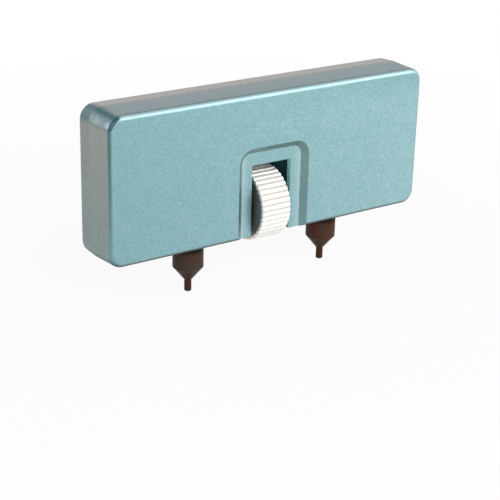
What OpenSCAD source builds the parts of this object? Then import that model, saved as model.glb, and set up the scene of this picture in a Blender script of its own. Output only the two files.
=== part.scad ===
// Pocket case back opener: two foot pins on jaws that a thumb wheel draws together or apart.
// Millimetres. X runs along the body, the front faces -Y, +Z is up.
// The origin is midway between the pin tips, on the plane that they touch.

/* [Body] */
// Length of the body
body_l = 77.4; // [74:0.2:84]
// Height of the body
body_h = 30.9; // [29.5:0.1:34]
// Thickness of the body, front face to rear face
body_t = 11.6; // [11.4:0.1:12.6]
// Thickness of the front shell, from its face to the joint with the rear cover
front_t = 7.2; // [6.8:0.1:7.6]
// Radius of the four corners, measured at the joint
corner_r = 3.2; // [2.8:0.1:4]
// Radius along the edges of the front and rear faces
edge_r = 1; // [0.5:0.1:1.2]
// Draft of the outer walls away from the joint, in degrees
draft = 2.5; // [0.5:0.5:3]

/* [Thumb recess] */
// Width of the arched recess at the face
recess_w = 17.4; // [16:0.2:20]
// Height of the recess above the underside
recess_h = 19.5; // [18.5:0.1:20.5]
// Depth of the recess floor below the face
recess_d = 1.2; // [1:0.1:1.6]
// How far the sloping wall runs in between the face and the floor
recess_slope = 1.4; // [0.8:0.1:1.6]
// Radius of the two upper corners of the recess, at the face
recess_r = 3.4; // [2.8:0.1:4]
// Width of the window that the wheel turns in
window_w = 9.6; // [9.2:0.1:9.8]
// Height of the window above the underside
window_h = 15.5; // [14.6:0.1:15.8]

/* [Thumb wheel] */
// Diameter over the teeth
wheel_d = 15.3; // [14.6:0.1:15.8]
// Width of the wheel
wheel_w = 7.2; // [6:0.1:7.4]
// How far to the right of the middle the wheel is pressed on its spindle
wheel_x = -0.45; // [-0.5:0.05:0.5]
// Number of teeth round the rim
teeth = 40; // [36:2:44]
// Height of the wheel's axis above the underside
axis_h = 5.8; // [5.4:0.1:6]

/* [Spindle and jaws] */
// Outside diameter of the spindle's threads
thread_d = 4; // [3.6:0.1:4.2]
// Distance between the two foot pins at rest
pin_spacing = 34.2; // [24:0.1:56]
// Length of a jaw block along the spindle
block_l = 8; // [7:0.5:10]
// Width of the channel that the jaw blocks slide in
channel_w = 7; // [6.8:0.1:7.2]

/* [Foot pins] */
// Diameter of the shank
shank_d = 6.4; // [5.6:0.1:6.6]
// Length of the shank below the body
shank_l = 5.15; // [4:0.05:7]
// Length of the cone between shank and tip
cone_l = 2.95; // [2:0.05:4]
// Diameter of the tip
tip_d = 1.5; // [1:0.1:2]
// Length of the tip
tip_l = 2.5; // [1.5:0.1:3]

/* [Hidden] */
$fn = 64;
paint = [0.52, 0.72, 0.74];
plated = [0.90, 0.89, 0.86];
steel = [0.62, 0.62, 0.62];
brass = [0.76, 0.62, 0.36];
oxide = [0.26, 0.20, 0.17];

rear_t = body_t - front_t;
under_z = shank_l + cone_l + tip_l;
axis_z = under_z + axis_h;
mid = body_t / 2;
past = 1;             // how far a cutter runs past the face that it opens

chamber_past = 0.9;   // the wheel's chamber is this much wider and higher than its window
web_in = window_w / 2 + chamber_past;
web_t = 1.6;          // wall between the wheel's chamber and the channel
web_out = web_in + web_t;
end_wall = 4.7;
end_in = body_l / 2 - end_wall;
channel_from = mid - channel_w / 2;

bush_r = 3;
end_bush_l = 3;
end_journal_r = 1.5;
run_gap = 0.03;       // radial clearance of a running fit
thread_gap = 0.05;    // radial clearance of a thread over its screw
end_gap = 0.1;        // clearance beside a shoulder, along the spindle
flange_r = 3.4;
flange_t = 0.7;
washer_t = 0.5;
journal_r = 2.7;      // where the wheel is pressed on the spindle
journal_half = web_in - flange_t - washer_t - end_gap;
relief_h = 0.4;       // depth of the relief where a thread starts
relief_l = 0.8;
lead_in = 0.3;        // chamfer where a thread or a journal ends
tip_gap = 0.2;        // the spindle ends this far inside its end bush

rib = 2.2;            // wall left between two hollows
rim_r = 0.35;         // rounding of the recess's rim
floor_r = 0.25;       // hollow round between the recess's wall and its floor
wall = 2;             // wall left in front of the cored pockets

screw_r = 1.25;
screw_l = 8;
screw_head_r = 2.35;
screw_head_h = 1.1;
screw_sunk = 0.1;
screw_hole_r = 1.4;
head_gap = 0.05;      // clearance of a screw's head in its seat
tap_past = 0.6;       // a tapped hole is this much deeper than its screw
boss_r = 2.7;
screw_at = [[-31.5, 24.8], [31.5, 24.8], [-13.2, 16.4], [13.2, 16.4]];
dowel_r = 1;
dowel_l = 6;
dowel_at = [[-22, 24.8], [22, 24.8]];

tooth_r = 0.6;
tooth_at = wheel_d / 2 - tooth_r;
root_r = wheel_d / 2 - 0.45;
tooth_turn = -1.3;    // degrees from straight below to the first tooth
bevel_in = 0.6;       // bevel round each side of the wheel, towards the axis
bevel_along = 0.25;   // and along it

block_w = channel_w - 0.1;
block_h = 10;
block_up = 0.3;       // the block's underside stands this far inside the body
block_chamfer = 0.4;
channel_h = block_up + block_h + 0.7;
stud_r = 1.75;
stud_l = 2.8;
stud_gap = 0.1;       // room above a stud
pin_chamfer = 0.2;
lock_r = 1;
lock_l = 2.2;
lock_up = 1.8;

core_r = 1.5;
core_low = channel_h + rib;
core_high = body_h - rib;
core_in = recess_w / 2 + rib;
core_out = body_l / 2 - rib;
mid_core_x = core_in - core_r;
mid_core_low = window_h + chamber_past + wall;
mid_core_from = recess_d + wall;

// ---- frames ----

// The front shell's working frame: x right, y up from the underside, z in from the face.
module on_front() {
  translate([0, -mid, under_z]) mirror([0, 1, 0]) rotate([90, 0, 0]) children();
}

// The rear cover's working frame, with the same sense of x, y and z.
module on_rear() {
  translate([0, mid, under_z]) rotate([90, 0, 0]) children();
}

// Both ends alike: the child and its mirror image in x.
module both_ends() {
  children();
  mirror([1, 0, 0]) children();
}

// Puts a shape whose axis is Z on the spindle's axis, running to the right.
module on_spindle() {
  translate([0, 0, axis_z]) rotate([0, 90, 0]) children();
}

// Puts a shape made for the right jaw on the side that is asked for.
module jaw_side(side) {
  mirror([side < 0 ? 1 : 0, 0, 0]) translate([pin_spacing / 2, 0, under_z]) children();
}

// ---- body ----

// Outer wall in section: u out from a corner's axis, v in from the face. The face turns
// into the wall through a round of edge_r, and the wall leans out by the draft to the joint.
module wall_section(depth) {
  tangent_v = edge_r * (1 - sin(draft));
  tangent_u = corner_r - (depth - tangent_v) * tan(draft);
  centre_u = tangent_u - edge_r * cos(draft);
  polygon([[0, 0], [centre_u, 0], [centre_u, edge_r], [tangent_u, tangent_v],
           [corner_r, depth], [0, depth]]);
  translate([centre_u, edge_r]) circle(edge_r);
}

// Slab with that wall all round, from its face at z = 0 to the joint at z = depth.
module drafted_slab(depth) {
  x = body_l / 2 - corner_r;
  low = corner_r;
  high = body_h - corner_r;
  translate([-x, low, 0]) cube([2 * x, high - low, depth]);
  both_ends() {
    translate([x, high, 0]) rotate([90, 0, 0]) linear_extrude(high - low) wall_section(depth);
    translate([x, high, 0]) rotate_extrude(angle = 90) wall_section(depth);
    translate([x, low, 0]) mirror([0, 1, 0]) rotate_extrude(angle = 90) wall_section(depth);
  }
  translate([-x, high, 0]) rotate([90, 0, 90]) linear_extrude(2 * x) wall_section(depth);
  translate([-x, low, 0]) mirror([0, 1, 0]) rotate([90, 0, 90])
    linear_extrude(2 * x) wall_section(depth);
}

// Recess wall in section, as a cutter: it slopes in from the face to the floor. Its rim
// flares over a round of rim_r, and a hollow round of floor_r leads into the floor.
module recess_section() {
  slant = norm([recess_slope, recess_d]);
  lean = (slant - recess_slope) / recess_d;
  across = [recess_d, recess_slope] / slant;
  rim = [recess_r + rim_r * lean, rim_r];
  foot = [recess_r - recess_slope - floor_r * lean, recess_d - floor_r];
  difference() {
    union() {
      polygon([[0, -past], [rim[0], -past], rim, rim - rim_r * across,
               foot + floor_r * across, foot, [foot[0], recess_d], [0, recess_d]]);
      translate(foot) circle(floor_r);
    }
    translate(rim) circle(rim_r);
  }
}

// The arched recess as a cutter, open at the underside.
module recess_cut() {
  x = recess_w / 2 - recess_r;
  y = recess_h - recess_r;
  translate([-x, -past, -past]) cube([2 * x, y + past, recess_d + past]);
  translate([-x, y, 0]) rotate([90, 0, 90]) linear_extrude(2 * x) recess_section();
  both_ends() {
    translate([x, y, 0]) rotate_extrude(angle = 90) recess_section();
    translate([x, y, 0]) rotate([90, 0, 0]) linear_extrude(y + past) recess_section();
  }
}

module rounded_box_2d(x0, y0, x1, y1, r) {
  translate([x0 + r, y0]) square([x1 - x0 - 2 * r, y1 - y0]);
  translate([x0, y0 + r]) square([x1 - x0, y1 - y0 - 2 * r]);
  for (x = [x0 + r, x1 - r], y = [y0 + r, y1 - r])
    translate([x, y]) circle(r);
}

// Hollows of the upper body that keep the castings' walls even, round the bosses.
module cores(depth) {
  both_ends() translate([0, 0, wall]) linear_extrude(depth) difference() {
    rounded_box_2d(core_in, core_low, core_out, core_high, core_r);
    for (p = concat(screw_at, dowel_at))
      if (p[0] > 0)
        translate(p) circle(boss_r);
  }
  translate([0, 0, mid_core_from]) linear_extrude(depth)
    rounded_box_2d(-mid_core_x, mid_core_low, mid_core_x, core_high, core_r);
}

// The wheel's window and the wider chamber behind it, the channels for the jaw blocks and
// the seats of the four bushes.
module drive_cut(depth) {
  translate([-window_w / 2, -past, -past])
    cube([window_w, window_h + past, depth + 2 * past]);
  translate([-web_in, -past, channel_from])
    cube([2 * web_in, window_h + chamber_past + past, depth]);
  both_ends() {
    translate([web_out, -past, channel_from])
      cube([end_in - web_out, channel_h + past, depth]);
    translate([0, axis_h, mid]) rotate([0, 90, 0]) cylinder(h = end_in + end_bush_l, r = bush_r);
    if (depth > mid)
      translate([0, axis_h - bush_r, mid]) cube([end_in + end_bush_l, 2 * bush_r, depth]);
  }
}

// What both halves of the body share.
module casting(depth) {
  difference() {
    drafted_slab(depth);
    recess_cut();
    drive_cut(depth);
    cores(depth);
    for (p = dowel_at)
      translate([p[0], p[1], depth - dowel_l / 2]) cylinder(h = dowel_l, r = dowel_r);
  }
}

module front_shell() {
  thread_depth = screw_l + screw_sunk - rear_t + tap_past;
  color(paint) on_front() difference() {
    casting(front_t);
    for (p = screw_at)
      translate([p[0], p[1], front_t - thread_depth]) cylinder(h = thread_depth + past, r = screw_r);
  }
}

module rear_cover() {
  color(paint) on_rear() difference() {
    casting(rear_t);
    for (p = screw_at) translate([p[0], p[1], -past]) {
      cylinder(h = rear_t + 2 * past, r = screw_hole_r);
      cylinder(h = past + screw_sunk, r = screw_head_r + head_gap);
      translate([0, 0, past + screw_sunk])
        cylinder(h = screw_head_h, r1 = screw_head_r + head_gap, r2 = screw_r + head_gap);
    }
  }
}

// Four countersunk screws, driven from the rear.
module cover_screws() {
  color(steel) on_rear() for (p = screw_at) translate([p[0], p[1], screw_sunk]) {
    cylinder(h = screw_head_h, r1 = screw_head_r, r2 = screw_r);
    cylinder(h = screw_l, r = screw_r);
  }
}

// Two dowels that line the halves up.
module alignment_dowels() {
  color(steel) on_rear() for (p = dowel_at)
    translate([p[0], p[1], rear_t - dowel_l / 2]) cylinder(h = dowel_l, r = dowel_r);
}

// ---- drive ----

// Spindle in half section: radius against distance from the middle. Its right half has a
// right-hand thread and its left half a left-hand one.
function spindle_half() =
  let (r = thread_d / 2, start = web_out + end_gap, free = start + relief_l,
       shoulder = end_in - end_gap, tip = end_in + end_bush_l - tip_gap)
  [[0, 0], [journal_r, 0], [journal_r, journal_half], [r, journal_half], [r, web_out],
   [r - relief_h, start], [r - relief_h, free], [r, free + relief_h], [r, shoulder - lead_in],
   [r - lead_in, shoulder], [end_journal_r, shoulder], [end_journal_r, tip - lead_in],
   [end_journal_r - lead_in, tip], [0, tip]];

module spindle() {
  color(steel) on_spindle() {
    rotate_extrude() polygon(spindle_half());
    mirror([0, 0, 1]) rotate_extrude() polygon(spindle_half());
  }
}

// Knurled wheel: round teeth whose feet meet in narrow grooves, with a bevel round each side.
module thumb_wheel() {
  r = wheel_d / 2;
  half = wheel_w / 2;
  color(plated) on_spindle() translate([0, 0, wheel_x]) difference() {
    intersection() {
      translate([0, 0, -half]) linear_extrude(wheel_w) union() {
        circle(root_r);
        for (i = [0:teeth - 1])
          rotate(i * 360 / teeth + tooth_turn) translate([tooth_at, 0])
            circle(tooth_r, $fn = 24);
      }
      rotate_extrude() polygon([[0, -half], [r - bevel_in, -half], [r, bevel_along - half],
                                [r, half - bevel_along], [r - bevel_in, half], [0, half]]);
    }
    translate([0, 0, -half - past]) cylinder(h = wheel_w + 2 * past, r = journal_r);
  }
}

// Ring on the spindle's axis, drawn for the right side.
module ring(side, from, length, inner, outer) {
  mirror([side < 0 ? 1 : 0, 0, 0]) on_spindle() translate([0, 0, from]) difference() {
    cylinder(h = length, r = outer);
    translate([0, 0, -past]) cylinder(h = length + 2 * past, r = inner);
  }
}

// Bush in the web beside the wheel, whose flange takes the wheel's end thrust.
module inner_bush(side) {
  bore = thread_d / 2 + run_gap;
  color(brass) {
    ring(side, web_in, web_t, bore, bush_r);
    ring(side, web_in - flange_t, flange_t, bore, flange_r);
  }
}

module end_bush(side) {
  color(brass) ring(side, end_in, end_bush_l, end_journal_r + run_gap, bush_r);
}

module thrust_washer(side) {
  from = journal_half + end_gap / 2;
  color(steel) ring(side, from, washer_t, thread_d / 2 + 2 * run_gap, flange_r);
}

module left_inner_bush() { inner_bush(-1); }
module right_inner_bush() { inner_bush(1); }
module left_end_bush() { end_bush(-1); }
module right_end_bush() { end_bush(1); }
module left_thrust_washer() { thrust_washer(-1); }
module right_thrust_washer() { thrust_washer(1); }

// ---- jaws ----

// Block that the spindle's thread moves along the channel, with a foot pin under it.
module jaw_block(side) {
  l = block_l / 2;
  w = block_w / 2;
  c = block_chamfer;
  color(brass) jaw_side(side) difference() {
    translate([0, 0, block_up]) linear_extrude(block_h)
      polygon([[c - l, -w], [l - c, -w], [l, c - w], [l, w - c],
               [l - c, w], [c - l, w], [-l, w - c], [-l, c - w]]);
    translate([-l - past, 0, axis_h]) rotate([0, 90, 0])
      cylinder(h = block_l + 2 * past, r = thread_d / 2 + thread_gap);
    translate([0, 0, block_up - past]) cylinder(h = stud_l + past + stud_gap, r = stud_r);
    translate([0, 0, lock_up]) rotate([0, 90, 0]) cylinder(h = l + past, r = lock_r);
  }
}

// Foot pin: a stud in the block, a shank, a cone and the tip that goes into the case back.
module foot_pin(side) {
  c = pin_chamfer;
  r = shank_d / 2;
  color(oxide) jaw_side(side) rotate_extrude()
    polygon([[0, block_up + stud_l], [stud_r - c, block_up + stud_l],
             [stud_r, block_up + stud_l - c], [stud_r, block_up], [r - c, block_up],
             [r, block_up - c], [r, -shank_l], [tip_d / 2, -shank_l - cone_l],
             [tip_d / 2, c - under_z], [tip_d / 2 - c, -under_z], [0, -under_z]]);
}

// Grub screw that locks the pin's stud, put in from the block's outer end.
module lock_screw(side) {
  color(steel) jaw_side(side) translate([stud_r, 0, lock_up])
    rotate([0, 90, 0]) cylinder(h = lock_l, r = lock_r);
}

module left_jaw_block() { jaw_block(-1); }
module right_jaw_block() { jaw_block(1); }
module left_pin() { foot_pin(-1); }
module right_pin() { foot_pin(1); }
module left_lock_screw() { lock_screw(-1); }
module right_lock_screw() { lock_screw(1); }

front_shell();
rear_cover();
cover_screws();
alignment_dowels();
spindle();
thumb_wheel();
left_inner_bush();
right_inner_bush();
left_end_bush();
right_end_bush();
left_thrust_washer();
right_thrust_washer();
left_jaw_block();
right_jaw_block();
left_pin();
right_pin();
left_lock_screw();
right_lock_screw();
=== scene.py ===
import math
import bpy
import numpy as np
from mathutils import Matrix, Vector


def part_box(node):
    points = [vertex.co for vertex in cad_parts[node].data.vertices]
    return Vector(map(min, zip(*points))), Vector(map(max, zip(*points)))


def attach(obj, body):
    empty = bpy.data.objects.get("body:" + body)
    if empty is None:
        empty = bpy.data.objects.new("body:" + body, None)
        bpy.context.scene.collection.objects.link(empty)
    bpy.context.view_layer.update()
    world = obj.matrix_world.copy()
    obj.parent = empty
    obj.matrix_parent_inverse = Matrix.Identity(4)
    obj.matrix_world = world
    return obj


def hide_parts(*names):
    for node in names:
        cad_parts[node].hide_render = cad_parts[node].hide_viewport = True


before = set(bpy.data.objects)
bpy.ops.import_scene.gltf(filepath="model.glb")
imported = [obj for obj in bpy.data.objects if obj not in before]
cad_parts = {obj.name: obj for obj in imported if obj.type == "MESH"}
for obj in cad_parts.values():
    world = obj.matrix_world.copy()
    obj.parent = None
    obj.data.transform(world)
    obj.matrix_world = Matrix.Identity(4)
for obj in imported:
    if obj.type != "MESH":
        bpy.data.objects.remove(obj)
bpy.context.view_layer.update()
mm = 0.001
axisZ = 16.4 * mm                # height of the spindle's axis
noTriangles = np.zeros((0, 3), int)
print("frame loaded")


def boxOf(node):
    low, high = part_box(node)
    return np.array(low), np.array(high)


def gridQuads(rows, cols, closeRows):
    # Quads between neighbouring rows of a grid whose columns close on themselves. Seen with
    # the rows running away and the columns turning left, the quads face outward.
    r = np.arange(rows if closeRows else rows - 1)[:, None]
    c = np.arange(cols)[None, :]
    below = (r + 1) % rows
    beside = (c + 1) % cols
    quads = np.stack([r * cols + c, below * cols + c, below * cols + beside,
                      r * cols + beside], -1)
    return quads.reshape(-1, 4)


def withPoles(grid):
    # Points and faces of a grid that is open at both ends: a fan of triangles closes each end
    # on a pole at the middle of its ring.
    rows, cols = grid.shape[:2]
    k = np.arange(cols)
    n = (k + 1) % cols
    pole, last = rows * cols, (rows - 1) * cols
    triangles = np.vstack([np.stack([k, n, np.full(cols, pole)], -1),
                           np.stack([last + n, last + k, np.full(cols, pole + 1)], -1)])
    points = np.vstack([grid.reshape(-1, 3), grid[0].mean(0), grid[-1].mean(0)])
    return points, gridQuads(rows, cols, False), triangles


def turnedPiece(name, grid, closeRows=False):
    # Skin of a grid (rows along the axis, columns round it). A ring closes its last row to
    # its first; anything else is closed at its poles.
    if not closeRows:
        return meshFromArrays(name, *withPoles(grid))
    rows, cols = grid.shape[:2]
    return meshFromArrays(name, grid.reshape(-1, 3), gridQuads(rows, cols, True), noTriangles)


def outward(points, quads, triangles):
    # A closed skin's volume, summed as a . (b x c) / 6 over its triangles, is positive when
    # its faces look outward; otherwise every face is turned over.
    halves = np.vstack([quads[:, :3], quads[:, [0, 2, 3]], triangles]).astype(int)
    a, b, c = points[halves[:, 0]], points[halves[:, 1]], points[halves[:, 2]]
    if np.einsum("ij,ij->", a, np.cross(b, c)) < 0:
        return quads[:, ::-1], triangles[:, ::-1]
    return quads, triangles


def meshFromArrays(name, points, quads, triangles, smooth=True):
    quads, triangles = outward(points, quads, triangles)
    mesh = bpy.data.meshes.new(name)
    mesh.vertices.add(len(points))
    mesh.vertices.foreach_set("co", points.astype(np.float32).ravel())
    corners = np.concatenate([quads.ravel(), triangles.ravel()]).astype(np.int32)
    starts = np.concatenate([np.arange(len(quads)) * 4,
                             len(quads) * 4 + np.arange(len(triangles)) * 3]).astype(np.int32)
    mesh.loops.add(len(corners))
    mesh.loops.foreach_set("vertex_index", corners)
    mesh.polygons.add(len(starts))
    mesh.polygons.foreach_set("loop_start", starts)
    mesh.update(calc_edges=True)
    mesh.validate()
    mesh.polygons.foreach_set("use_smooth", np.full(len(mesh.polygons), smooth))
    piece = bpy.data.objects.new(name, mesh)
    bpy.context.scene.collection.objects.link(piece)
    return piece


def joined(parts):
    # Several (points, quads, triangles) as one set, the indices moved on past each other.
    offsets = np.cumsum([0] + [len(p) for p, q, t in parts])
    points = np.vstack([p for p, q, t in parts])
    quads = np.vstack([q + o for (p, q, t), o in zip(parts, offsets)])
    triangles = np.vstack([t + o for (p, q, t), o in zip(parts, offsets)])
    return points, quads, triangles


def addAttribute(piece, name, values):
    data = piece.data.attributes.new(name, "FLOAT", "POINT")
    data.data.foreach_set("value", np.ascontiguousarray(values, dtype=np.float32).ravel())


def dress(piece, material, node, body):
    piece.data.materials.append(material)
    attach(piece, body)
    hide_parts(node)


def roundedPath(points, radii, steps=6, straight=1.55):
    # A path of straight stretches whose corners are rounded: at each corner the arc of the
    # given radius touches both stretches, radius over tan(half the corner's angle) away. A
    # corner whose half angle is over straight, in radians, is left as it is.
    points = np.array(points, float)
    out = [points[0]]
    for before, corner, after, radius in zip(points, points[1:], points[2:], radii[1:-1]):
        a = (before - corner) / np.linalg.norm(before - corner)
        b = (after - corner) / np.linalg.norm(after - corner)
        half = math.acos(np.clip(a @ b, -1, 1)) / 2
        if radius == 0 or half > straight:
            out.append(corner)
            continue
        reach = radius / math.tan(half)
        centre = corner + (a + b) / np.linalg.norm(a + b) * radius / math.sin(half)
        start = corner + a * reach - centre
        stop = corner + b * reach - centre
        turn = math.acos(np.clip(start @ stop / radius ** 2, -1, 1))
        t = np.linspace(0, 1, steps + 1)[:, None]
        out.extend(centre + (np.sin((1 - t) * turn) * start + np.sin(t * turn) * stop)
                   / math.sin(turn))
    out.append(points[-1])
    return np.array([np.ravel(p) for p in out])


def crisp(path, near=0.01 * mm, most=0.3):
    # Adds a point close to each side of every corner, so that smooth shading stays flat
    # along the stretches and turns only at the corners. most is the largest part of a
    # stretch that it may stand in from its end.
    path = np.array(path, float)
    step = np.diff(path, axis=0)
    size = np.linalg.norm(step, axis=1, keepdims=True)
    inset = np.minimum(near, size * most) * step / size
    out = np.stack([path[:-1], path[:-1] + inset, path[1:] - inset], 1).reshape(-1, 2)
    return np.vstack([out, path[-1:]])


def latheGrid(path, centre, around):
    # Path points are (height, radius): each is swung round an upright axis, so a point is
    # radius times (cos a, sin a) across it.
    a = np.arange(around) * 2 * math.pi / around
    height = np.repeat(path[:, :1], around, axis=1)
    radius = path[:, 1:]
    return np.stack([radius * np.cos(a), radius * np.sin(a), height], -1) + np.array(centre)


view = {
    "place": (-0.15789, -0.21802, 0.11207),
    "aim": (-0.001568, 0.0, 0.005638),
    "roll": -1.450,              # degrees, about the line of sight
    "lens": 98.60,               # in millimetres, as the sensor's width is
    "sensor": 36,
    "clip": (0.01, 20),
}


def makeCamera(values):
    data = bpy.data.cameras.new("camera")
    data.sensor_width = values["sensor"]
    data.sensor_fit = "HORIZONTAL"
    data.lens = values["lens"]
    data.clip_start, data.clip_end = values["clip"]
    camera = bpy.data.objects.new("camera", data)
    bpy.context.scene.collection.objects.link(camera)
    place = Vector(values["place"])
    sight = (Vector(values["aim"]) - place).normalized()
    right = sight.cross(Vector((0, 0, 1))).normalized()
    up = right.cross(sight)
    turn = math.radians(values["roll"])
    tilted = up * math.cos(turn) + right * math.sin(turn)
    side = sight.cross(tilted)
    frameOf = Matrix((side, tilted, -sight)).transposed().to_4x4()
    camera.matrix_world = Matrix.Translation(place) @ frameOf
    bpy.context.scene.camera = camera


makeCamera(view)
print("camera placed")


def newMaterial(name):
    material = bpy.data.materials.new(name)
    material.use_nodes = True
    nodes = material.node_tree.nodes
    return material, nodes, material.node_tree.links, nodes["Principled BSDF"]


def objectPoint(nodes):
    return nodes.new("ShaderNodeTexCoord").outputs["Object"]


def splitNode(nodes, links, vector):
    n = nodes.new("ShaderNodeSeparateXYZ")
    links.new(vector, n.inputs["Vector"])
    return n.outputs["X"], n.outputs["Y"], n.outputs["Z"]


def noiseNode(nodes, links, point, size, detail=2.0, rough=0.5):
    # size is the width of one blotch in metres
    n = nodes.new("ShaderNodeTexNoise")
    n.inputs["Scale"].default_value = 1 / size
    n.inputs["Detail"].default_value = detail
    n.inputs["Roughness"].default_value = rough
    links.new(point, n.inputs["Vector"])
    return n.outputs["Fac"]


def cellNode(nodes, links, point, size):
    # three random numbers for each cell of the given size
    n = nodes.new("ShaderNodeTexVoronoi")
    n.inputs["Scale"].default_value = 1 / size
    links.new(point, n.inputs["Vector"])
    parts = nodes.new("ShaderNodeSeparateColor")
    links.new(n.outputs["Color"], parts.inputs["Color"])
    return parts.outputs["Red"], parts.outputs["Green"], parts.outputs["Blue"]


def mathNode(nodes, links, operation, a, b=0.0, clamp=False):
    n = nodes.new("ShaderNodeMath")
    n.operation = operation
    n.use_clamp = clamp
    for socket, value in zip(n.inputs, (a, b)):
        if isinstance(value, (int, float)):
            socket.default_value = value
        else:
            links.new(value, socket)
    return n.outputs["Value"]


def rangeNode(nodes, links, value, low, high, toLow, toHigh):
    n = nodes.new("ShaderNodeMapRange")
    links.new(value, n.inputs["Value"])
    for socket, number in zip(("From Min", "From Max", "To Min", "To Max"),
                              (low, high, toLow, toHigh)):
        n.inputs[socket].default_value = number
    return n.outputs["Result"]


def mixColour(nodes, links, factor, a, b):
    n = nodes.new("ShaderNodeMix")
    n.data_type = "RGBA"
    for key, value in (("Factor_Float", factor), ("A_Color", a), ("B_Color", b)):
        socket = next(s for s in n.inputs if s.identifier == key)
        if isinstance(value, (int, float)):
            socket.default_value = value
        elif isinstance(value, tuple):
            socket.default_value = (*value, 1)
        else:
            links.new(value, socket)
    return next(s for s in n.outputs if s.identifier == "Result_Color")


def bumpNode(nodes, links, height, depth, before=None):
    # depth is the height of the relief in metres
    n = nodes.new("ShaderNodeBump")
    n.inputs["Strength"].default_value = 1
    n.inputs["Distance"].default_value = depth
    links.new(height, n.inputs["Height"])
    if before is not None:
        links.new(before, n.inputs["Normal"])
    return n.outputs["Normal"]


def fineGrain(nodes, links, shader, point, values):
    # fine grain that moves the roughness a little and raises a shallow relief
    fine = noiseNode(nodes, links, point, values["grain"], 2)
    links.new(rangeNode(nodes, links, fine, 0.3, 0.7, *values["rough"]),
              shader.inputs["Roughness"])
    links.new(bumpNode(nodes, links, fine, values["relief"]), shader.inputs["Normal"])


paint = {
    # colour against how far the surface faces forward or back, 0 on the sides to 1: the last
    # stop is the faces' own paint, the others are painted shade and reflection over the rounds
    # and sides
    "ramp": ((0.00, (0.245, 0.248, 0.219)), (0.20, (0.225, 0.255, 0.239)),
             (0.45, (0.152, 0.240, 0.256)), (0.72, (0.116, 0.237, 0.258)),
             (0.90, (0.138, 0.294, 0.322)), (0.985, (0.257, 0.462, 0.490))),
    # from lowEnd to under: tones of painted shade, highlight and reflection laid over the paint
    "lowEnd": (0.160, 0.226, 0.226),
    "topFront": (0.260, 0.295, 0.297),
    "topEdge": (0.190, 0.270, 0.300),
    "topRear": (0.405, 0.350, 0.320),
    "highlight": (0.285, 0.440, 0.475),
    "above": (0.060, 0.090, 0.100),
    "corner": (0.022, 0.100, 0.115),
    "crease": (0.700, 0.850, 0.900),
    "cornerEdge": (0.010, 0.055, 0.078),
    "strip": (0.050, 0.135, 0.130),
    "softRound": (0.190, 0.360, 0.380),
    "foot": (0.430, 0.590, 0.605),
    "bevel": (0.134, 0.244, 0.244),
    "lip": (0.270, 0.580, 0.620),
    "under": (0.070, 0.105, 0.108),
    "dark": (0.10, 0.27, 0.31),
    "bright": (0.50, 0.70, 0.73),
    "flake": 0.20 * mm,
    "flakeFrom": (0.55, 1.0),    # random numbers over the first one make a flake
    "flakeRelief": 0.004 * mm,
    "mottle": 2.2 * mm,
    "patch": 1.6 * mm,           # patches in the painted highlight along the creases of the corners
    "peel": 0.9 * mm,
    "peelRelief": 0.012 * mm,
    "sheen": 0.5 * mm,
    "rough": (0.36, 0.44),
    "metallic": 0.72,
    "coat": 0.5,
    "coatRough": 0.16,
    "specular": (0.5, 0.08),     # on the paint and where it is dull
    "casting": (0.010, 0.075, 0.085),
    "joint": 1.4 * mm,           # y of the line where the shells meet
    "jointStep": 0.01 * mm,
    "seam": 0.05 * mm,
}

# How much of a tone is laid on.
amount = {
    "rearEnd": 0.4,
    "light": 0.46,
    "dark": 0.54,
    "blotch": 0.14,
    "fade": 0.34,
    "high": 0.35,
    "foot": 0.8,
    "paintedLight": 0.60,
    "strip": (0.2, 1.0),         # from low to high on the ends
    "crease": (0.85, 0.42),      # from the face back
    "creasePatch": (0.55, 1.0),
    "cornerEdge": (1.0, 0.1),    # from the middle to the right
    "broad": (0.25, 1.0),
    "seam": 0.45,
}

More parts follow.
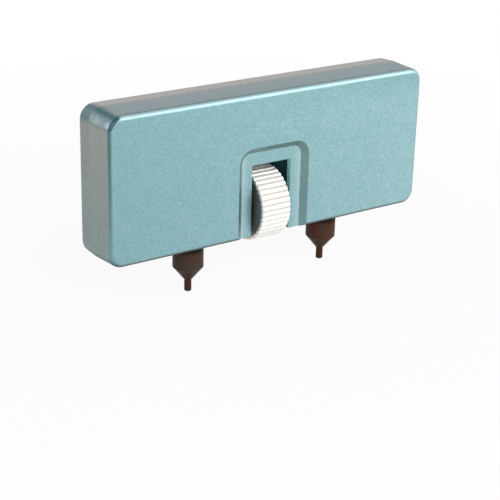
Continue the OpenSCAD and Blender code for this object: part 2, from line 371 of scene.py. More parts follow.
# Where a tone starts and where it is full, or where it is still full and where it has ended.
# Names that end in X, Y or Z are places; Across, Forward and Up are how far the surface faces
# that way, from 0 to 1; and Turn is the angle from straight up to the end, in radians.
reach = {
    "sideForward": (0.05, 0.30),
    "faceForward": (0.9, 0.99),
    "broadForward": (0.3, 1.0),
    "lowEndZ": (14 * mm, 36 * mm),
    "topUp": (0.7, 0.98),
    "topEdgeY": -5.2 * mm,       # from there to the joint
    "rearEndUp": (0.5, 0.7),
    "fadeX": (-36 * mm, 36 * mm),
    "highX": (-10 * mm, 38 * mm),
    "highZ": (35 * mm, 41 * mm),
    "recessX": (9.2 * mm, 9.3 * mm),
    "recessZ": (31.0 * mm, 31.1 * mm),
    "wallFromY": (-5.78 * mm, -5.70 * mm),
    "wallToY": (-4.85 * mm, -4.7 * mm),
    "wallForward": (0.90, 0.97),
    "footFromY": (-5.05 * mm, -4.8 * mm),
    "footToY": (-4.5 * mm, -4.45 * mm),
    "footFromForward": (0.78, 0.92),
    "footToForward": (0.992, 0.9995),
    "paintedLightFromY": (-4.7 * mm, -4.65 * mm),
    "paintedLightForward": (0.97, 0.99),
    "paintedLightX": (5.6 * mm, 7.2 * mm),
    "outerY": (-4.6 * mm, -4.55 * mm),
    "outerX": (36.2 * mm, 36.4 * mm),
    "softFromForward": (0.35, 0.75),
    "softToForward": (0.97, 0.999),
    "softZ": (13 * mm, 24 * mm),
    "stripZ": (12 * mm, 34 * mm),
    "stripFromForward": (0.35, 0.60),
    "stripToForward": (0.72, 0.99),
    "topZ": (38.0 * mm, 38.1 * mm),
    "aboveFromForward": (0.03, 0.12),
    "aboveToForward": (0.22, 0.34),
    "aboveUp": (0.6, 0.8),
    "slantAcross": (0.02, 0.10),
    "slantUp": (0.0, 0.10),
    "slantForward": (0.75, 0.95),
    "cornerFromTurn": (0.10, 0.40),
    "cornerToTurn": (1.25, 1.50),
    "creaseFromTurn": (0.55, 1.10),
    "creaseToTurn": (1.28, 1.42),
    "creaseY": (-5.3 * mm, -3.6 * mm),
    "edgeFromForward": (0.35, 0.55),
    "edgeToForward": (0.95, 0.995),
    "edgeAcross": (0.08, 0.20),
    "edgeUp": (0.04, 0.12),
    "edgeX": (0, 37 * mm),
    "paintedEdgeForward": (0.38, 0.58),
    "paintedEdgeUp": (0.08, 0.42),
    "rightX": (34 * mm, 35 * mm),
    "rightAcross": (0.05, 0.15),
    "rightFromForward": (0.45, 0.65),
    "rightToForward": (0.94, 0.998),
    "rightUp": (0.0, 0.25),
    "lowUp": (-0.60, -0.12),
    "flatUp": (-0.999, -0.95),
    "lowZ": (13 * mm, 14 * mm),
    "lipX": (5.2 * mm, 5.3 * mm),
    "lipFromY": (-4.55 * mm, -4.5 * mm),
    "lipToY": (-3.5 * mm, -3.45 * mm),
    "lipAcross": (0.7, 0.9),
    "insideX": (37.2 * mm, 37.21 * mm),
    "insideY": (3.55 * mm, 3.56 * mm),
    "insideFromZ": (10.94 * mm, 10.95 * mm),
    "insideToZ": (40.0 * mm, 40.01 * mm),
    "insideOutward": (12 * mm, 13 * mm),
}


def bodyPaintAndLight(values, amount, reach):
    material, nodes, links, shader = newMaterial("bodyPaintAndLight")
    coordinates = nodes.new("ShaderNodeTexCoord")
    point = coordinates.outputs["Object"]

    def maths(operation, a, b=0.0):
        return mathNode(nodes, links, operation, a, b)

    def between(value, ends, low=0.0, high=1.0):
        return rangeNode(nodes, links, value, *ends, low, high)

    def over(value, name):                   # 0 where the reach starts, 1 where it ends
        return between(value, reach[name])

    def under(value, name):                  # 1 where the reach starts, 0 where it ends
        return between(value, reach[name], 1.0, 0.0)

    def both(*masks):
        product = masks[0]
        for mask in masks[1:]:
            product = maths("MULTIPLY", product, mask)
        return product

    def lay(mask, tone):
        return mixColour(nodes, links, mask, colour, values[tone])

    def patches(size, detail, low, high, rough=0.5, ends=(0.3, 0.7)):
        return between(noiseNode(nodes, links, point, size, detail, rough), ends, low, high)

    faceX, faceY, faceZ = splitNode(nodes, links, coordinates.outputs["Normal"])
    placeX, placeY, placeZ = splitNode(nodes, links, point)
    acrossX, forward, awayX, awayY = (maths("ABSOLUTE", v)
                                      for v in (faceX, faceY, placeX, placeY))
    joint = values["joint"]
    atJoint = (joint, joint + values["jointStep"])
    rear, front = between(placeY, atJoint), between(placeY, atJoint, 1.0, 0.0)

    # painted shade and reflection by facing: darker over the edges, and the sides greyer than
    # the faces
    ramp = nodes.new("ShaderNodeValToRGB")
    links.new(forward, ramp.inputs["Fac"])
    stops = ramp.color_ramp.elements
    for k, (where, tone) in enumerate(values["ramp"]):
        stop = stops[k] if k < 2 else stops.new(where)
        stop.position = where
        stop.color = (*tone, 1)
    colour = ramp.outputs["Color"]
    side = under(forward, "sideForward")
    # painted shade: the sides take a darker teal grey lower down
    colour = lay(both(side, under(placeZ, "lowEndZ")), "lowEnd")
    # painted reflection tones on the top: grey on the front shell, darker towards the front
    # edge, and a pinker grey on the rear cover
    upward = both(side, over(faceZ, "topUp"))
    colour = lay(both(upward, front), "topFront")
    toEdge = between(placeY, (reach["topEdgeY"], joint), 1.0, 0.0)
    colour = lay(both(upward, front, toEdge), "topEdge")
    colour = lay(both(upward, rear), "topRear")
    # painted shade on the rear cover's ends
    rearEnd = both(side, rear, under(faceZ, "rearEndUp"))
    colour = lay(both(rearEnd, amount["rearEnd"]), "under")

    # metal flakes, some lighter and some darker than the paint, and broad soft mottling
    red, green, blue = cellNode(nodes, links, point, values["flake"])
    broad = between(forward, reach["broadForward"], *amount["broad"])
    light = between(red, values["flakeFrom"], 0.0, amount["light"])
    dark = between(green, values["flakeFrom"], 0.0, amount["dark"])
    colour = lay(both(light, broad), "bright")
    colour = lay(both(dark, broad), "dark")
    blotch = patches(values["mottle"], 4, 0.0, amount["blotch"], 0.6)
    colour = lay(both(blotch, broad), "bright")
    # painted shade on the face: darker towards the left end, and along the top towards the
    # right
    fade = between(placeX, reach["fadeX"], amount["fade"], 0.0)
    colour = lay(both(fade, over(forward, "faceForward")), "dark")
    high = both(between(placeX, reach["highX"], 0.0, amount["high"]),
                over(placeZ, "highZ"), over(forward, "faceForward"))
    colour = lay(high, "dark")

    # the sloping wall of the recess in painted shade, a painted highlight along the hollow
    # round at its foot, and painted light on the floor beside it
    inRecess = both(under(awayX, "recessX"), under(placeZ, "recessZ"))
    wall = both(inRecess, over(placeY, "wallFromY"), under(placeY, "wallToY"),
                under(forward, "wallForward"))
    colour = lay(wall, "bevel")
    foot = both(inRecess, over(placeY, "footFromY"), under(placeY, "footToY"),
                over(forward, "footFromForward"), under(forward, "footToForward"))
    colour = lay(both(foot, amount["foot"]), "foot")
    paintedLight = both(inRecess, over(placeY, "paintedLightFromY"), over(forward, "paintedLightForward"),
                under(placeY, "footToY"), over(awayX, "paintedLightX"))
    colour = lay(both(paintedLight, amount["paintedLight"]), "foot")

    # painted shade on the round along the body's ends, darkest next to the face, and a painted
    # highlight on the one along the top, with a painted dark line above it
    outer = both(under(placeY, "outerY"), over(awayX, "outerX"))
    soft = both(outer, over(forward, "softFromForward"), under(forward, "softToForward"),
                under(placeZ, "softZ"))
    colour = lay(soft, "softRound")
    lower = between(placeZ, reach["stripZ"], *amount["strip"])
    strip = both(outer, over(forward, "stripFromForward"), under(forward, "stripToForward"),
                 lower)
    colour = lay(strip, "strip")
    atTop = over(placeZ, "topZ")
    above = both(atTop, over(forward, "aboveFromForward"), under(forward, "aboveToForward"),
                 over(faceZ, "aboveUp"))
    colour = lay(above, "above")

    # corners between the ends and the top: painted shade where they turn over, with a painted
    # highlight along a crease and a painted dark edge next to the face
    turn = maths("ARCTAN2", acrossX, faceZ)
    slant = both(over(acrossX, "slantAcross"), over(faceZ, "slantUp"),
                 under(forward, "slantForward"))
    colour = lay(both(slant, over(turn, "cornerFromTurn"), under(turn, "cornerToTurn")),
                 "corner")
    uneven = patches(values["patch"], 3, *amount["creasePatch"], ends=(0.35, 0.65))
    near = between(placeY, reach["creaseY"], *amount["crease"])
    crease = both(slant, front, over(turn, "creaseFromTurn"), under(turn, "creaseToTurn"),
                  uneven, near)
    colour = lay(crease, "crease")
    edge = both(over(forward, "edgeFromForward"), under(forward, "edgeToForward"),
                over(acrossX, "edgeAcross"), over(faceZ, "edgeUp"),
                between(placeX, reach["edgeX"], *amount["cornerEdge"]))
    colour = lay(edge, "cornerEdge")
    # painted highlight along the top's front round, carried round the right-hand corner
    paintedEdge = both(under(acrossX, "slantAcross"), over(forward, "paintedEdgeForward"),
                  over(faceZ, "paintedEdgeUp"))
    rightCorner = both(over(placeX, "rightX"), over(acrossX, "rightAcross"),
                       over(forward, "rightFromForward"), under(forward, "rightToForward"),
                       over(faceZ, "rightUp"))
    colour = lay(both(atTop, maths("MAXIMUM", paintedEdge, rightCorner)), "highlight")

    # painted shade in a thin dark line round the underside, and a dark line where the two
    # shells meet
    low = both(under(faceZ, "lowUp"), over(faceZ, "flatUp"), under(placeZ, "lowZ"))
    colour = lay(low, "under")
    fromJoint = maths("ABSOLUTE", maths("SUBTRACT", placeY, joint))
    seam = between(fromJoint, (0.3 * values["seam"], values["seam"]), amount["seam"], 0.0)
    colour = lay(seam, "dark")

    # painted light on the window's inner edge, and dark teal painted shade on the inner walls
    # inside the drive's chamber and channels, above the rim; both are set non-metallic
    lip = both(under(awayX, "lipX"), over(placeY, "lipFromY"), under(placeY, "lipToY"),
               over(acrossX, "lipAcross"))
    colour = lay(lip, "lip")
    outwards = maths("MULTIPLY", faceX, placeX)
    inside = both(under(awayX, "insideX"), under(awayY, "insideY"),
                  over(placeZ, "insideFromZ"), under(placeZ, "insideToZ"),
                  under(outwards, "insideOutward"))
    colour = lay(inside, "casting")
    links.new(colour, shader.inputs["Base Color"])

    dull = maths("MAXIMUM", inside, low)
    bare = maths("MAXIMUM", dull, lip)
    flat = maths("MAXIMUM", dull, upward)
    for socket, value in (
            ("Metallic", between(bare, (0, 1), values["metallic"], 0.0)),
            ("Roughness", patches(values["sheen"], 3, *values["rough"])),
            ("Coat Weight", between(flat, (0, 1), values["coat"], 0.0)),
            ("Specular IOR Level", between(dull, (0, 1), *values["specular"]))):
        links.new(value, shader.inputs[socket])
    shader.inputs["Coat Roughness"].default_value = values["coatRough"]
    grain = bumpNode(nodes, links, blue, values["flakeRelief"])
    peel = noiseNode(nodes, links, point, values["peel"], 2)
    links.new(bumpNode(nodes, links, peel, values["peelRelief"], grain),
              shader.inputs["Normal"])
    return material


def setMaterial(node, material):
    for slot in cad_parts[node].material_slots:
        slot.material = material


paintMaterial = bodyPaintAndLight(paint, amount, reach)
for shell in ("front_shell", "rear_cover"):
    setMaterial(shell, paintMaterial)
print("body painted")


metals = {
    "turnedSteel": {"colour": (0.56, 0.56, 0.55), "rough": (0.27, 0.37),
                    "grain": 0.15 * mm, "relief": 0.002 * mm},
    "screwSteel": {"colour": (0.48, 0.48, 0.47), "rough": (0.33, 0.43),
                   "grain": 0.2 * mm, "relief": 0.002 * mm},
    "machinedBrass": {"colour": (0.66, 0.47, 0.20), "rough": (0.29, 0.39),
                      "grain": 0.2 * mm, "relief": 0.002 * mm},
    "darkest": 0.85,             # tone of the dark blotches, which are 6 grains wide
}


def metal(name, values, darkest):
    material, nodes, links, shader = newMaterial(name)
    point = objectPoint(nodes)
    blotch = noiseNode(nodes, links, point, values["grain"] * 6, 3)
    tone = rangeNode(nodes, links, blotch, 0.3, 0.7, darkest, 1.0)
    tint = nodes.new("ShaderNodeCombineColor")
    for channel, value in zip(("Red", "Green", "Blue"), values["colour"]):
        links.new(mathNode(nodes, links, "MULTIPLY", tone, value), tint.inputs[channel])
    links.new(tint.outputs["Color"], shader.inputs["Base Color"])
    shader.inputs["Metallic"].default_value = 1
    fineGrain(nodes, links, shader, point, values)
    return material


plating = {
    "crest": (0.90, 0.88, 0.84),
    # groove, bevelNotch and the two side tones are painted shade
    "groove": (0.50, 0.46, 0.43),
    "bevel": (0.66, 0.61, 0.54),
    "bevelNotch": (0.10, 0.08, 0.07),
    "sideOuter": (0.112, 0.122, 0.121),
    "sideInner": (0.012, 0.040, 0.045),
    "sideFade": (3.7 * mm, 5.0 * mm),    # from the axis, inner tone to outer
    "grooveFall": 1.6,                   # a higher power keeps the shade deeper down
    "metallic": (0.35, 0.95),            # on the teeth and on the bevels
    "sideMetallic": 0.5,
    "grain": 0.25 * mm,
    "relief": 0.001 * mm,
    "rough": (0.33, 0.40),
}


def wheelPlatingAndShade(values):
    # Satin plate on the crests, painted shade in the grooves and in notches at their ends on
    # the bevels, and turned flat sides with painted shade that darkens towards the axis.
    material, nodes, links, shader = newMaterial("wheelPlatingAndShade")
    point = objectPoint(nodes)

    def attribute(name):
        n = nodes.new("ShaderNodeAttribute")
        n.attribute_name = name
        return n.outputs["Fac"]

    def maths(operation, a, b=0.0):
        return mathNode(nodes, links, operation, a, b)

    # painted shade in the grooves
    groove = maths("POWER", attribute("groove"), values["grooveFall"])
    colour = mixColour(nodes, links, groove, values["crest"], values["groove"])
    # the bevel's tone, with painted shade in notches at the grooves' ends
    paintedEdge = mixColour(nodes, links, groove, values["bevel"], values["bevelNotch"])
    bevel = attribute("bevel")
    colour = mixColour(nodes, links, bevel, colour, paintedEdge)
    # painted shade on the flat sides, darker towards the axis
    _, depth, height = splitNode(nodes, links, point)
    rise = maths("SUBTRACT", height, axisZ)
    away = maths("SQRT", maths("ADD", maths("MULTIPLY", rise, rise),
                               maths("MULTIPLY", depth, depth)))
    outer = rangeNode(nodes, links, away, *values["sideFade"], 0.0, 1.0)
    flat = mixColour(nodes, links, outer, values["sideInner"], values["sideOuter"])
    side = attribute("side")
    colour = mixColour(nodes, links, side, colour, flat)
    links.new(colour, shader.inputs["Base Color"])
    bare = rangeNode(nodes, links, bevel, 0, 1, *values["metallic"])
    onSide = maths("MULTIPLY", side, values["sideMetallic"])
    links.new(maths("MAXIMUM", bare, onSide), shader.inputs["Metallic"])
    fineGrain(nodes, links, shader, point, values)
    return material


platedMetal = wheelPlatingAndShade(plating)
turnedSteel, screwSteel, machinedBrass = (
    metal(name, metals[name], metals["darkest"])
    for name in ("turnedSteel", "screwSteel", "machinedBrass"))

oxide = {
    "light": (0.054, 0.041, 0.031),
    "brown": (0.072, 0.028, 0.019),
    # cone and shade are painted shade
    "cone": (0.050, 0.022, 0.011),
    "shade": (0.010, 0.006, 0.004),
    "patch": 2.5 * mm,
    "patchSpan": (-0.2, 0.5),
    "rightX": (-17 * mm, 17 * mm),       # from the left pin to the right one
    "rightMore": 0.6,
    "underBodyZ": (8.7 * mm, 9.6 * mm),
    "underBodyShade": 0.9,
    "tipZ": (0.12 * mm, 0.45 * mm),
    "tipShade": 0.8,
    "coneZ": (5.0 * mm, 5.3 * mm),
    "coneTone": 0.85,
    "specular": 0.05,
    "grain": 0.2 * mm,
    "relief": 0.003 * mm,
    "rough": (0.36, 0.46),
}


def pinOxideAndShade(values):
    # Brown oxide in soft patches, stronger on the right pin, with painted shade on the cone,
    # where the shank goes up into the body and at the tip.
    material, nodes, links, shader = newMaterial("pinOxideAndShade")
    point = objectPoint(nodes)

    def between(value, ends, low, high):
        return rangeNode(nodes, links, value, *ends, low, high)

    placeX, _, placeZ = splitNode(nodes, links, point)
    blotch = noiseNode(nodes, links, point, values["patch"], 3)
    right = between(placeX, values["rightX"], 0.0, values["rightMore"])
    patch = mathNode(nodes, links, "ADD", between(blotch, (0.35, 0.65), *values["patchSpan"]),
                     right, True)
    colour = mixColour(nodes, links, patch, values["light"], values["brown"])
    # painted shade: the cone darker
    cone = between(placeZ, values["coneZ"], values["coneTone"], 0.0)
    colour = mixColour(nodes, links, cone, colour, values["cone"])
    # painted shade where the shank goes up into the body and at the tip
    high = between(placeZ, values["underBodyZ"], 0.0, values["underBodyShade"])
    low = between(placeZ, values["tipZ"], values["tipShade"], 0.0)
    shade = mathNode(nodes, links, "MAXIMUM", high, low)
    colour = mixColour(nodes, links, shade, colour, values["shade"])
    links.new(colour, shader.inputs["Base Color"])
    shader.inputs["Metallic"].default_value = 0.0
    shader.inputs["Specular IOR Level"].default_value = values["specular"]
    fineGrain(nodes, links, shader, point, values)
    return material


oxideSteel = pinOxideAndShade(oxide)

wears = (
    (screwSteel, ("alignment_dowels", "left_lock_screw", "right_lock_screw")),
    (turnedSteel, ("left_thrust_washer", "right_thrust_washer")),
    (machinedBrass, ("left_inner_bush", "right_inner_bush", "left_end_bush",
                     "right_end_bush", "left_jaw_block", "right_jaw_block")),
)
for material, names in wears:
    for name in names:
        setMaterial(name, material)
print("metals set")


wheel = {
    "teeth": 40,
    "perTooth": 24,
    "firstCrest": -1.8,          # degrees up from the front
    "depth": 0.30 * mm,
    "crestPower": 2.2,
    "bevelIn": 0.6 * mm,
    "bevelAlong": 0.25 * mm,
    "bore": 2.7 * mm,
    "softness": 0.035 * mm,
    "paintedLight": 0.22 * mm,           # how far the crests' painted bright ends run on to the bevel
    "paintedLightEdge": 0.08 * mm,
    "rings": (15, 5, 8),         # over the bevel, beside it, and on to the middle
    "footIn": (0.02 * mm, 0.3 * mm),     # rings of the flat side, inward from the bevel
}


def toothRadius(angle, outer, values):
    # With t running from 0 on a crest to 1 in a groove, the rim drops by
    # depth (1 - cos(pi t^q)) / 2: a power q over 1 makes broad crests and narrow grooves.
    pitch = 2 * math.pi / values["teeth"]
    t = np.abs((angle + pitch / 2) % pitch - pitch / 2) / (pitch / 2)
    return outer - values["depth"] * (1 - np.cos(math.pi * t ** values["crestPower"])) / 2


def makeWheel(values, material):
    low, high = boxOf("thumb_wheel")
    outer = (high[1] - low[1]) / 2
    count = values["teeth"] * values["perTooth"]
    angle = np.arange(count) * 2 * math.pi / count
    rim = toothRadius(angle - math.radians(values["firstCrest"]), outer, values)[None, :]

    # Across the rim: the bevel's cone rises from each side, and the tooth is whichever is
    # lower of cone and tooth back, blended by h = (d + sqrt(d^2 + s^2)) / 2 over softness s.
    # The rings stand close together up to 1.3 of the bevel's length, and wider apart past it.
    half = (high[0] - low[0]) / 2
    ramp = values["bevelAlong"]
    onBevel, beside, onRim = values["rings"]
    near = np.concatenate([np.linspace(0, 1.3 * ramp, onBevel),
                           np.linspace(1.6, 3, beside) * ramp,
                           np.linspace(4.2 * ramp, half, onRim)])
    away = np.concatenate([near, near[-2::-1]])[:, None]
    across = np.concatenate([near, 2 * half - near[-2::-1]])
    cone = outer - values["bevelIn"] * (1 - away / ramp)
    lower = cone - rim
    blend = (lower + np.sqrt(lower ** 2 + values["softness"] ** 2)) / 2
    radius = np.minimum(cone - blend, outer)

    # Flat sides: from the bevel's foot in to the bore, and the bore back to the other side.
    foot, bore = outer - values["bevelIn"], values["bore"]
    close, further = values["footIn"]
    inward = np.array([foot - close, foot - further, (foot + bore) / 2, bore + close, bore])
    sides = np.concatenate([inward[::-1], inward])
    places = np.concatenate([np.zeros(5), np.full(5, 2 * half)])
    radii = np.vstack([np.repeat(sides[:5, None], count, 1), radius,
                       np.repeat(sides[5:, None], count, 1)])
    along = np.concatenate([places[:5], across, places[5:]])[:, None] + low[0]
    grid = np.stack([np.repeat(along, count, 1), -radii * np.cos(angle),
                     radii * np.sin(angle) + axisZ], -1)
    piece = turnedPiece("thumbWheel", grid, closeRows=True)

    # How deep each point lies in a groove, on a bevel or on a flat side, for the plating. The
    # crests' bright tone is painted on over the bevel's edge as painted light, between notches
    # of painted shade, so the edge runs in scallops.
    flat = np.zeros_like(radii)
    groove = np.vstack([flat[:5], np.repeat((outer - rim) / values["depth"], len(across), 0),
                        flat[:5]])
    paintedLight = values["paintedLight"] * (outer - rim) / values["depth"]
    level = np.clip((paintedLight - values["paintedLight"] - lower) / values["paintedLightEdge"] + 0.3, 0, 1)
    level = level * (away < 1.2 * ramp)
    addAttribute(piece, "groove", groove)
    addAttribute(piece, "bevel", np.vstack([flat[:5], level, flat[:5]]))
    side = np.vstack([flat[:5] + 1, flat[5:-5], flat[:5] + 1])
    addAttribute(piece, "side", side)
    dress(piece, material, "thumb_wheel", "drive")


makeWheel(wheel, platedMetal)
print("wheel made")


thread = {
    "radius": 2.0 * mm,
    "pitch": 0.7 * mm,
    "depth": 0.42 * mm,
    "from": 8.8 * mm,
    "to": 33.6 * mm,
    "fade": 0.7 * mm,
    "around": 64,
    "perPitch": 14,
    "journal": 2.7 * mm,         # radius that the wheel is pressed on
    "journalHalf": 4.4 * mm,
    "neckTo": 7.3 * mm,
    "relief": 1.6 * mm,
    "reliefSpan": (7.4 * mm, 8.2 * mm),
    "reliefTo": 8.6 * mm,
    "endJournal": 1.5 * mm,
    "endLength": 2.9 * mm,
    "chamfer": 0.3 * mm,
    "poleRadius": 0.02 * mm,
}


def threadDepth(along, angle, values):
    # The helix: x / pitch - angle / 2 pi is a whole number on a crest. The V has a flat crest
    # an eighth of the pitch wide and a flat root a quarter wide, and it fades in and out.
    turn = (along / values["pitch"] - angle / (2 * math.pi)) % 1
    fromCrest = np.minimum(turn, 1 - turn)
    groove = np.clip((fromCrest - 1 / 16) / (3 / 8 - 1 / 16), 0, 1)
    rise = np.clip((along - values["from"]) / values["fade"], 0, 1)
    fall = np.clip((values["to"] - along) / values["fade"], 0, 1)
    return values["depth"] * groove * np.minimum(rise, fall)


def makeSpindle(values, material):
    # Half a spindle from the middle outward: the wheel's journal, a plain neck through the
    # bush, a relief, the thread and the end journal. The other half is its mirror image, so
    # its helix has the other hand.
    tip = boxOf("spindle")[1][0]
    shoulder = tip - values["endLength"]
    r, chamfer = values["radius"], values["chamfer"]
    reliefFrom, reliefTo = values["reliefSpan"]
    start = crisp([(0, values["journal"]), (values["journalHalf"], values["journal"]),
                   (values["journalHalf"], r), (values["neckTo"], r),
                   (reliefFrom, values["relief"]), (reliefTo, values["relief"]),
                   (values["reliefTo"], r)])
    end = crisp([(shoulder, r - chamfer), (shoulder, values["endJournal"]),
                 (tip - chamfer, values["endJournal"]), (tip, values["endJournal"] - chamfer),
                 (tip, values["poleRadius"])])
    steps = int((shoulder - start[-1, 0]) / values["pitch"] * values["perPitch"])
    middle = np.linspace(start[-1, 0], shoulder, steps)[1:-1]
    share = np.clip((shoulder - middle) / chamfer, 0, 1)
    path = np.vstack([start, np.stack([middle, r - chamfer * (1 - share)], 1), end])
    angle = np.arange(values["around"]) * 2 * math.pi / values["around"]
    along = path[:, :1]
    radius = path[:, 1:] - threadDepth(along, angle[None, :], values)
    x = np.repeat(along, values["around"], 1)
    right = np.stack([x, radius * np.cos(angle), radius * np.sin(angle) + axisZ], -1)
    left = right[:0:-1] * np.array([-1, 1, 1])
    piece = turnedPiece("threadedSpindle", np.vstack([left, right]))
    dress(piece, material, "spindle", "drive")


makeSpindle(thread, turnedSteel)
print("spindle made")


pin = {
    "tip": 0.75 * mm,            # radii of tip, shank and stud
    "shank": 3.2 * mm,
    "stud": 1.75 * mm,
    "tipLength": 2.5 * mm,       # heights from the tip up
    "coneTo": 5.1 * mm,
    "shankFrom": 5.46 * mm,
    "shankTo": 10.68 * mm,
    "studFrom": 10.9 * mm,
    "studTo": 13.5 * mm,
    "tipChamfer": (0.18 * mm, 0.15 * mm),    # along the axis and across it
    "coneChamfer": 0.32 * mm,
    "shankChamfer": 0.2 * mm,
    "rounds": [q * mm for q in (0, 0.05, 0.08, 0.25, 0.3, 0.12, 0.1, 0.05, 0.05, 0.1, 0.05, 0)],
    "poleRadius": 0.02 * mm,
    "around": 96,
}


def makePin(node, body, name, values, material):
    # Turned outline from the tip up: chamfered tip, cone with a short steeper chamfer under
    # the shank, shank, and the stud that the jaw block takes.
    low, high = boxOf(node)
    centre = ((low[0] + high[0]) / 2, 0, 0)
    tip, shank, stud, pole = (values[k] for k in ("tip", "shank", "stud", "poleRadius"))
    chamferUp, chamferIn = values["tipChamfer"]
    top = high[2]
    corners = [(0, pole), (0, tip - chamferIn), (chamferUp, tip), (values["tipLength"], tip),
               (values["coneTo"], shank - values["coneChamfer"]),
               (values["shankFrom"], shank), (values["shankTo"], shank),
               (values["shankTo"] + values["shankChamfer"], shank - values["shankChamfer"]),
               (values["studFrom"], stud), (values["studTo"], stud),
               (top, stud - values["shankChamfer"]), (top, pole)]
    path = roundedPath(corners, values["rounds"])
    grid = latheGrid(path, centre, values["around"])[::-1]
    piece = turnedPiece(name, grid)
    dress(piece, material, node, body)


makePin("left_pin", "left_jaw", "leftFootPin", pin, oxideSteel)
makePin("right_pin", "right_jaw", "rightFootPin", pin, oxideSteel)
print("pins made")


screw = {
    # x and z of each screw in millimetres, and how far its cross is turned in degrees
    "at": ((-31.5, 35.4), (31.5, 35.4), (-13.2, 27.0), (13.2, 27.0)),
    "turn": (20, 65, -12, 38),
    "head": 2.35 * mm,
    "shaft": 1.25 * mm,
    "armWidth": 0.36 * mm,
    "armLength": 1.25 * mm,
    "armSlope": 0.10 * mm,       # widths of the slots' sloping sides and ends
    "endSlope": 0.75 * mm,
    "recess": 0.85 * mm,
    "crown": 0.04 * mm,
    "countersunk": 1.1 * mm,
    "chamferFrom": 7.6 * mm,
    "length": 8.0 * mm,
    "chamfer": 0.3 * mm,
    "poleRadius": 0.02 * mm,
    "around": 144,
    "rings": (34, 5),            # over the recess and round it
    "ringFrom": 0.03 * mm,
    "ringPast": 0.1 * mm,        # how far the recess's rings run past its arms
    "outerRings": 1.5 * mm,
    "rimIn": 0.06 * mm,
}


def crossDepth(u, v, values):
    # Two crossed slots with steep sides and sloping ends, as deep as whichever is deeper.
    def slot(along, across):
        side = (values["armWidth"] - np.abs(across)) / values["armSlope"]
        end = (values["armLength"] - np.abs(along)) / values["endSlope"]
        return np.clip(np.minimum(side, end), 0, 1)
    return values["recess"] * np.maximum(slot(u, v), slot(v, u))


def screwSurface(place, turn, face, values):
    # Head rings from the middle of the recess out, then the countersink and the shaft.
    around = values["around"]
    angle = np.arange(around) * 2 * math.pi / around
    head = values["head"]
    inner, rest = values["rings"]
    rings = np.concatenate([
        np.linspace(values["ringFrom"], values["armLength"] + values["ringPast"], inner),
        np.linspace(values["outerRings"], head - values["rimIn"], rest)])
    u = rings[:, None] * np.cos(angle - turn)
    v = rings[:, None] * np.sin(angle - turn)
    sunk = crossDepth(u, v, values)
    top = values["crown"]
    crown = top * (1 - (rings / head) ** 2)[:, None]
    shaft, length, pole = values["shaft"], values["length"], values["poleRadius"]
    outline = crisp([(top / 2, head - top / 2), (top, head), (values["countersunk"], shaft),
                     (values["chamferFrom"], shaft), (length, shaft - values["chamfer"]),
                     (length, pole)])
    depth = np.vstack([sunk + top - crown, np.repeat(outline[:, :1], around, 1)])
    radius = np.vstack([np.repeat(rings[:, None], around, 1),
                        np.repeat(outline[:, 1:], around, 1)])
    grid = np.stack([place[0] * mm - radius * np.cos(angle), face - depth,
                     place[1] * mm + radius * np.sin(angle)], -1)
    return withPoles(grid)


def makeScrews(values, material):
    face = boxOf("cover_screws")[1][1]
    parts = [screwSurface(place, math.radians(turn), face, values)
             for place, turn in zip(values["at"], values["turn"])]
    piece = meshFromArrays("crossHeadScrews", *joined(parts))
    dress(piece, material, "cover_screws", "housing")


makeScrews(screw, screwSteel)
print("screws made")


studio = {
    "floorSize": 6.0,
    "shadow": 0.10,              # how much of the floor's own shading the camera sees
    "shadowTo": (0.05, 0.22),    # from there out it fades away
    "floorTone": 0.93,
    "floorRough": 0.9,
    "world": 0.45,
    "aim": (0, 0, 0.025),
    "key": {"from": (0.58, -0.72, 0.44), "away": 0.9, "size": 0.65, "power": 4.15},
    "fill": {"from": (-0.42, -0.78, 0.38), "away": 1.0, "size": 0.8, "power": 4.15},
    "back": {"from": (-0.20, 0.95, 0.22), "away": 1.1, "size": 0.7, "power": 0.90},
}


def seenPlainly(nodes, links):
    # 1 for what the camera sees, also by way of a shiny or a clear surface
    path = nodes.new("ShaderNodeLightPath")
    direct = mathNode(nodes, links, "ADD", path.outputs["Is Camera Ray"],
                      path.outputs["Is Glossy Ray"])
    return mathNode(nodes, links, "ADD", direct, path.outputs["Is Transmission Ray"], True)


def mixShaders(nodes, links, share, first, second):
    n = nodes.new("ShaderNodeMixShader")
    for socket, value in zip(n.inputs, (share, first, second)):
        links.new(value, socket)
    return n.outputs["Shader"]


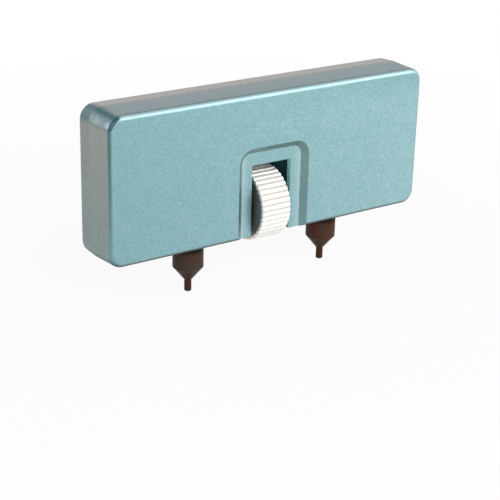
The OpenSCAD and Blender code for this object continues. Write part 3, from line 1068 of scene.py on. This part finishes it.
def makeFloor(values):
    # The floor shows the camera mostly plain white, with the rest of its own lit and shaded
    # surface laid over that, so the shadow stays soft and faint. From below it can be seen
    # through.
    h = values["floorSize"] / 2
    floor = meshFromArrays("floor", np.array([[-h, -h, 0], [h, -h, 0], [h, h, 0], [-h, h, 0]]),
                           np.array([[0, 1, 2, 3]]), noTriangles, False)
    material, nodes, links, shader = newMaterial("floor")
    shader.inputs["Base Color"].default_value = (*[values["floorTone"]] * 3, 1)
    shader.inputs["Roughness"].default_value = values["floorRough"]
    glow = nodes.new("ShaderNodeEmission")
    glow.inputs["Color"].default_value = (1, 1, 1, 1)
    glow.inputs["Strength"].default_value = 1
    away = nodes.new("ShaderNodeVectorMath")
    away.operation = "LENGTH"
    links.new(objectPoint(nodes), away.inputs[0])
    near, far = values["shadowTo"]
    white = rangeNode(nodes, links, away.outputs["Value"], near, far, 1 - values["shadow"], 1.0)
    share = mathNode(nodes, links, "MULTIPLY", seenPlainly(nodes, links), white)
    plain = mixShaders(nodes, links, share, shader.outputs["BSDF"], glow.outputs["Emission"])
    behind = nodes.new("ShaderNodeNewGeometry").outputs["Backfacing"]
    clear = nodes.new("ShaderNodeBsdfTransparent").outputs["BSDF"]
    links.new(mixShaders(nodes, links, behind, plain, clear),
              nodes["Material Output"].inputs["Surface"])
    floor.data.materials.append(material)


def makeWorld(strength):
    world = bpy.data.worlds.new("studio")
    bpy.context.scene.world = world
    world.use_nodes = True
    nodes, links = world.node_tree.nodes, world.node_tree.links
    soft = nodes["Background"]
    soft.inputs["Color"].default_value = (1, 1, 1, 1)
    soft.inputs["Strength"].default_value = strength
    white = nodes.new("ShaderNodeBackground")
    white.inputs["Color"].default_value = (1, 1, 1, 1)
    white.inputs["Strength"].default_value = 1
    mixed = mixShaders(nodes, links, seenPlainly(nodes, links), soft.outputs["Background"],
                       white.outputs["Background"])
    links.new(mixed, nodes["World Output"].inputs["Surface"])


def makeLamp(name, values, aim):
    data = bpy.data.lights.new(name, "AREA")
    data.shape = "SQUARE"
    data.size = values["size"]
    data.energy = values["power"]
    lamp = bpy.data.objects.new(name, data)
    bpy.context.scene.collection.objects.link(lamp)
    offset = Vector(values["from"]).normalized()
    lamp.location = Vector(aim) + offset * values["away"]
    lamp.rotation_euler = (-offset).to_track_quat("-Z", "Y").to_euler()


makeFloor(studio)
makeWorld(studio["world"])
for name in ("key", "fill", "back"):
    makeLamp(name, studio[name], studio["aim"])
bpy.context.scene.view_settings.view_transform = "Standard"
print("studio lit")
